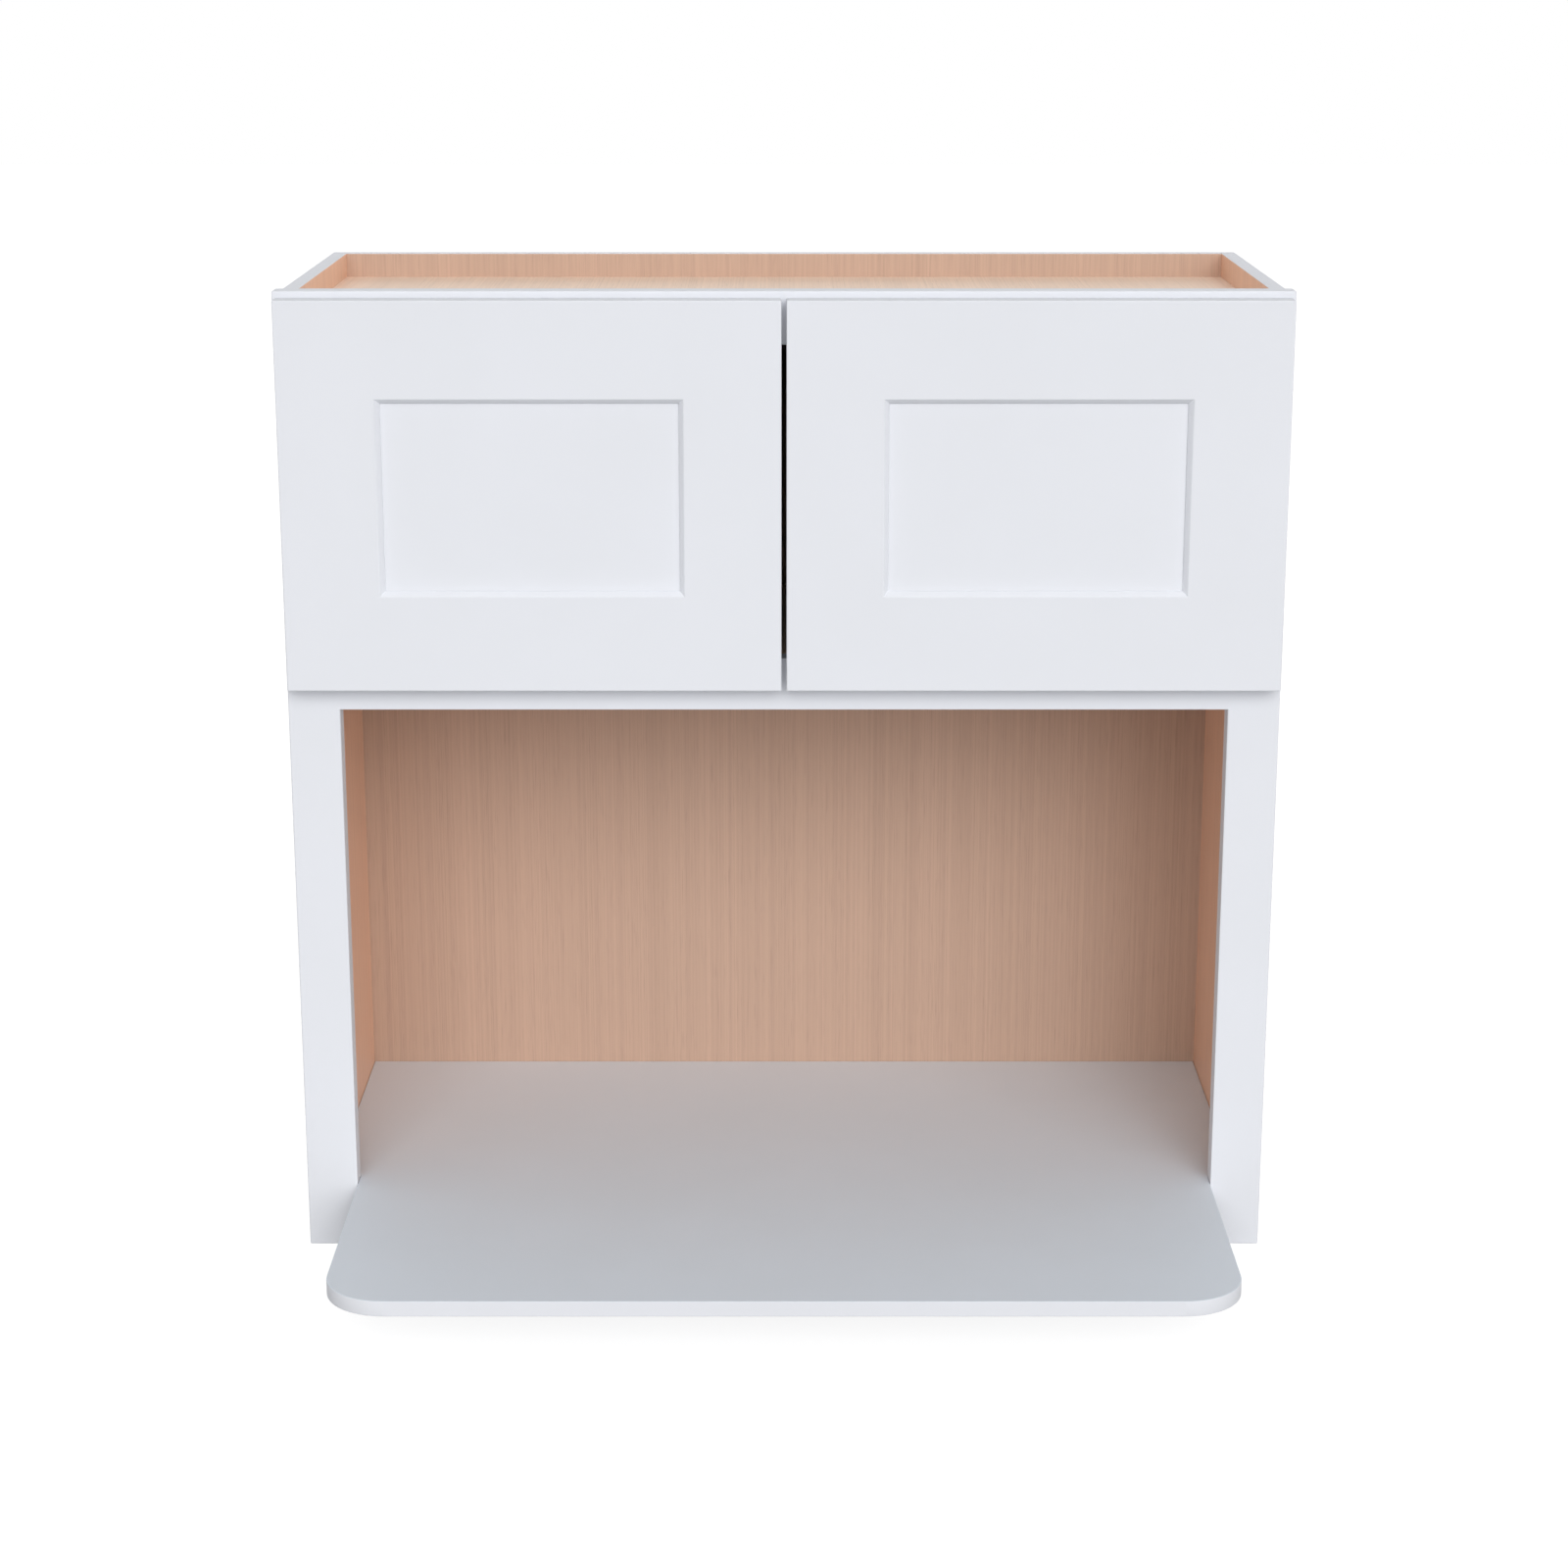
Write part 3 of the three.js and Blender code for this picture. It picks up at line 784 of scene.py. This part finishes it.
# %% [markdown]
# ## Hinge arms, links and cups
#
# A concealed hinge is pressed from sheet steel: an arm screwed to the inside of the stile, a cranked
# link, and a cup let into the door. The CAD parts already have the shapes that let the door swing, and a
# redrawn one could scrape. So each is a copy of the CAD part with its loose triangles merged into whole
# faces, and the only change is what pressing and tumbling do: the sharp edges are rounded a little.

# %% Pressed hinge parts
PRESSED_EDGE = 0.25 * MM
FLAT = math.radians(1)
HINGES = [(side, level) for side in SIDES for level in LEVELS]


def pressed(node):
    shape = bmesh.new()
    shape.from_mesh(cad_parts[node].data)
    bmesh.ops.remove_doubles(shape, verts=shape.verts, dist=TOUCH)
    bmesh.ops.dissolve_limit(shape, angle_limit=FLAT, verts=shape.verts, edges=shape.edges)
    bmesh.ops.recalc_face_normals(shape, faces=shape.faces)
    ease_arrises(shape, PRESSED_EDGE, steps=2)
    return shape


for side, level in HINGES:
    bodies = {"arm": "cabinet", "link": f"{side}_hinge_links", "cup": f"{side}_door"}
    for part, body in bodies.items():
        node = f"{side}_{level}_hinge_{part}"
        make_piece(f"{node}_pressed", pressed(node), [nickel], body, [node])

# %% [markdown]
# ## Hinge pins
#
# The links turn on rivets: a plain shank with a low domed head at each end. Half of the outline is drawn
# as a few points, mirrored for the other head, and spun once round the pin's axis.

# %% Hinge pins
PIN_STEPS = 24
HEAD_THICK = 0.5 * MM
SHANK = 1.0 * MM
MERGE = TOUCH / 10
# Radius and depth of the dome's points, as shares of the head's.
HEAD_DOME = [(1, 1), (1, 0.6), (0.8, 0.2), (0.45, 0), (0, 0)]


def spun(profile, steps):
    """A profile of [radius, height] points, turned into a closed solid about the Z axis."""
    shape = bmesh.new()
    points = [shape.verts.new((radius, 0, height)) for radius, height in profile]
    edges = [shape.edges.new(pair) for pair in zip(points, points[1:])]
    turned_about(shape, points, edges, (0, 0, 1), steps)
    bmesh.ops.remove_doubles(shape, verts=shape.verts, dist=MERGE)
    bmesh.ops.recalc_face_normals(shape, faces=shape.faces)
    return shape


def hinge_pin(node):
    low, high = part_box(node)
    head, half = (high.x - low.x) / 2, (high.z - low.z) / 2
    dome = [(across * head, half - deep * HEAD_THICK) for across, deep in HEAD_DOME]
    upper = [(SHANK, half - HEAD_THICK), *dome]
    lower = [(radius, -height) for radius, height in reversed(upper)]
    shape = spun(lower + upper, PIN_STEPS)
    bmesh.ops.translate(shape, verts=shape.verts, vec=(low + high) / 2)
    return shape


for side, level in HINGES:
    for pin, body in (("arm_pin", "cabinet"), ("cup_pin", f"{side}_door")):
        node = f"{side}_{level}_hinge_{pin}"
        make_piece(f"{node}_rivet", hinge_pin(node), [nickel], body, [node])

# %% [markdown]
# ## Countersunk screws
#
# Screws hold the arms to the stiles, the cups to the doors and the shelf to the board below it. Only
# their heads ever show, so the head gets the care: a flat top with a cross recess. The profile is spun,
# its open top is closed, an inset makes a ring inside it, and that ring is pulled into a cross and pushed
# down to a small floor.

# %% Screws
SCREW_STEPS = 32
SCREW_SHANK = 1.75 * MM
SCREW_POINT = 3 * MM
HEAD_RIM = 0.15 * MM
CROSS_REACH = 2.1 * MM
CROSS_WAIST = 0.75 * MM
CROSS_ARM = math.pi / 10  # a point this near to an arm's middle line stays out
CROSS_DEEP = 1.3 * MM
CROSS_TAPER = 0.45


def countersunk_screw(length, head):
    """A screw that points down, with the flat top of its head at z = 0."""
    profile = [
        (head - HEAD_RIM, 0),
        (head, -HEAD_RIM),
        (SCREW_SHANK, SCREW_SHANK - head - HEAD_RIM),
        (SCREW_SHANK, SCREW_POINT - length),
        (0, -length),
    ]
    shape = spun(profile, SCREW_STEPS)
    top = bmesh.ops.contextual_create(shape, geom=[e for e in shape.edges if e.is_boundary])["faces"]
    ring = head - HEAD_RIM - CROSS_REACH
    bmesh.ops.inset_region(shape, faces=top, thickness=ring, use_even_offset=True)
    discs = [face for face in shape.faces if len(face.verts) == SCREW_STEPS]
    recess = max(discs, key=lambda face: face.calc_center_median().z)
    waist = CROSS_WAIST / CROSS_REACH
    for point in recess.verts:
        quarter = math.atan2(point.co.y, point.co.x) % (math.pi / 2)
        if CROSS_ARM < quarter < math.pi / 2 - CROSS_ARM:
            bmesh.ops.scale(shape, verts=[point], vec=(waist, waist, 1))
    floor = push(shape, [recess], (0, 0, -CROSS_DEEP))
    bmesh.ops.scale(shape, verts=floor, vec=(CROSS_TAPER, CROSS_TAPER, 1))
    bmesh.ops.recalc_face_normals(shape, faces=shape.faces)
    return shape


def screw_in_place(node, direction):
    """The screw of a CAD node, turned to point along a direction, in the node's place."""
    low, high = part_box(node)
    size, middle = high - low, (low + high) / 2
    axis = max(range(3), key=lambda i: abs(direction[i]))
    cross = [size[i] for i in range(3) if i != axis]
    shape = countersunk_screw(size[axis], max(cross) / 2)
    turn = Vector((0, 0, -1)).rotation_difference(direction).to_matrix()
    bmesh.ops.rotate(shape, verts=shape.verts, matrix=turn)
    bmesh.ops.translate(shape, verts=shape.verts, vec=middle - direction * size[axis] / 2)
    return shape


UP, FORWARD = Vector((0, 0, 1)), Vector((0, -1, 0))
OUTWARD = {"left": Vector((-1, 0, 0)), "right": Vector((1, 0, 0))}
for side in SIDES:
    screws = {f"{side}_shelf_screw": (UP, "cabinet")}
    for level in LEVELS:
        screws[f"{side}_{level}_hinge_arm_screw"] = (OUTWARD[side], "cabinet")
        for number in (1, 2):
            screws[f"{side}_{level}_hinge_cup_screw_{number}"] = (FORWARD, f"{side}_door")
    for node, (direction, body) in screws.items():
        screw = screw_in_place(node, direction)
        make_piece(f"{node}_driven", screw, [nickel], body, [node])

# %% [markdown]
# ## Bumpers
#
# Two clear domes on the free edge of each door soften its close. A dome is a disc whose edge has
# slumped as the plastic was poured, so its profile is a flat base, a quarter of an ellipse and a small
# flat crown that meets the face frame.

# %% Bumpers
DOME_STEPS = 32
DOME_POINTS = 8
CROWN = 0.35  # share of the radius that stays flat


def bumper(node):
    low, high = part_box(node)
    radius, thick = (high.x - low.x) / 2, high.y - low.y
    slump = [
        (radius * (CROWN + (1 - CROWN) * math.cos(angle)), thick * math.sin(angle))
        for angle in (math.pi / 2 * step / DOME_POINTS for step in range(DOME_POINTS + 1))
    ]
    shape = spun([(0, 0), *slump, (0, thick)], DOME_STEPS)
    bmesh.ops.rotate(shape, verts=shape.verts, matrix=Matrix.Rotation(math.radians(-90), 3, "X"))
    foot = Vector(((low.x + high.x) / 2, low.y, (low.z + high.z) / 2))
    bmesh.ops.translate(shape, verts=shape.verts, vec=foot)
    return shape


for side, level in HINGES:
    node = f"{side}_door_{level}_bumper"
    make_piece(f"{node}_dome", bumper(node), [clear_gel], f"{side}_door", [node])

# %% [markdown]
# ## Floor and backdrop
#
# The cabinet stands on a plain pale floor against plain white. The floor is a real diffuse surface to
# every ray that lights the object, and it takes the object's shadow. The camera also sees a little of
# its own light in it, which lifts it to the white of the backdrop and leaves the shadow faint.

# %% What the camera sees as white
def seen_rays(tree):
    """1 for the camera's rays, and for those that it sees by way of metal or clear plastic."""
    rays = add_node(tree, "ShaderNodeLightPath").outputs
    either = {0: rays["Is Camera Ray"], 1: rays["Is Glossy Ray"]}
    mirrored_too = add_node(tree, "ShaderNodeMath", either, operation="MAXIMUM")
    all_three = {0: mirrored_too.outputs[0], 1: rays["Is Transmission Ray"]}
    return add_node(tree, "ShaderNodeMath", all_three, operation="MAXIMUM").outputs[0]


# %% Floor
FLOOR_REACH = 12.0
FLOOR_SQUARES = 8
FLOOR_GLOW = 0.84


def studio_floor():
    shape = bmesh.new()
    bmesh.ops.create_grid(
        shape, x_segments=FLOOR_SQUARES, y_segments=FLOOR_SQUARES, size=FLOOR_REACH
    )
    mesh = bpy.data.meshes.new("studio_floor")
    shape.to_mesh(mesh)
    shape.free()
    floor = bpy.data.objects.new("studio_floor", mesh)
    bpy.context.scene.collection.objects.link(floor)
    finish, tree = new_finish("matt white studio floor")
    mesh.materials.append(finish)
    matt = add_node(tree, "ShaderNodeBsdfDiffuse", {"Color": linear("#BCBCBC")})
    dim = add_node(tree, "ShaderNodeBsdfDiffuse", {"Color": linear("#A0A0A0")})
    glow = add_node(tree, "ShaderNodeEmission", {"Color": linear("#FFFFFF"), "Strength": FLOOR_GLOW})
    lifted = add_node(tree, "ShaderNodeAddShader", {0: dim.outputs["BSDF"], 1: glow.outputs["Emission"]})
    mixed = add_node(
        tree,
        "ShaderNodeMixShader",
        {0: seen_rays(tree), 1: matt.outputs["BSDF"], 2: lifted.outputs["Shader"]},
    )
    add_node(tree, "ShaderNodeOutputMaterial", {"Surface": mixed.outputs["Shader"]})
    return floor


print("stage:", studio_floor().name)

# %% [markdown]
# ## World
#
# An even grey world lights every side a little, as the walls of a studio do. The camera, and what the
# metal and the clear plastic reflect, see it as white.

# %% World
WORLD_LEVEL = 0.42


def studio_world():
    world = bpy.data.worlds.new("studio")
    bpy.context.scene.world = world
    world.use_nodes = True
    tree = world.node_tree
    tree.nodes.clear()
    light = add_node(
        tree, "ShaderNodeBackground", {"Color": linear("#FFFFFF"), "Strength": WORLD_LEVEL}
    )
    white = add_node(tree, "ShaderNodeBackground", {"Color": linear("#FFFFFF"), "Strength": 1.0})
    mixed = add_node(
        tree,
        "ShaderNodeMixShader",
        {0: seen_rays(tree), 1: light.outputs["Background"], 2: white.outputs["Background"]},
    )
    add_node(tree, "ShaderNodeOutputWorld", {"Surface": mixed.outputs["Shader"]})
    return world


print(f"world: {studio_world().name}, level {WORLD_LEVEL}")

# %% [markdown]
# ## Lamps
#
# The portrait is lit softly and mostly from in front: a broad lamp stands above the camera and a weaker
# one beside it on the right. Two low lamps behind the cabinet are for whoever walks round it, and hardly
# reach the front. They show in no reflection, because from in front they would glare in everything that
# faces up. All are sun lamps, because a sun lights the far floor as strongly as the cabinet, and a wide
# angle blurs its shadows as a large soft box does. Pi watts per square metre, with no other light, make
# a white that faces the lamp render as white, so each lamp has a share of that. With the world's level
# the shares add up so that the white doors render about as their paint is written.

# %% Lamps
SOFT = math.radians(40)
FULL_SUN = math.pi
LAMPS = {  # degrees round from the front, degrees up, share of a full sun, seen in reflections
    "front": (0, 25, 0.395, True),
    "right": (25, 20, 0.26, True),
    "rear right": (160, 8, 0.25, False),
    "rear left": (-160, 8, 0.25, False),
}

for name, (azimuth, height, share, mirrored) in LAMPS.items():
    lamp = bpy.data.lights.new(name, "SUN")
    lamp.energy, lamp.angle = FULL_SUN * share, SOFT
    holder = bpy.data.objects.new(name, lamp)
    holder.rotation_euler = (math.radians(90 - height), 0, math.radians(azimuth))
    holder.visible_glossy = mirrored
    bpy.context.scene.collection.objects.link(holder)
    print(f"lamp {name}: {lamp.energy:.2f} W/m2, {height} degrees up")

# %% [markdown]
# ## Camera
#
# The photograph's lines settle the camera: it looks straight at the cabinet's middle from 2.67 m away
# and about a metre up, tilted 15 degrees down, through a lens of 73 mm on a 36 mm sensor.

# %% Camera
LENS, SENSOR = 72.9, 36
CAMERA_AWAY, CAMERA_UP = 2.6707, 1.0187
CAMERA_TILT = 15

lens = bpy.data.cameras.new("portrait")
lens.lens, lens.sensor_width = LENS, SENSOR
camera = bpy.data.objects.new("portrait", lens)
camera.location = (0, -CAMERA_AWAY, CAMERA_UP)
camera.rotation_euler = (math.radians(90 - CAMERA_TILT), 0, 0)
bpy.context.scene.collection.objects.link(camera)
bpy.context.scene.camera = camera
bpy.context.scene.view_settings.view_transform = "Standard"
print(f"camera: {LENS} mm lens, {CAMERA_TILT} degrees down")
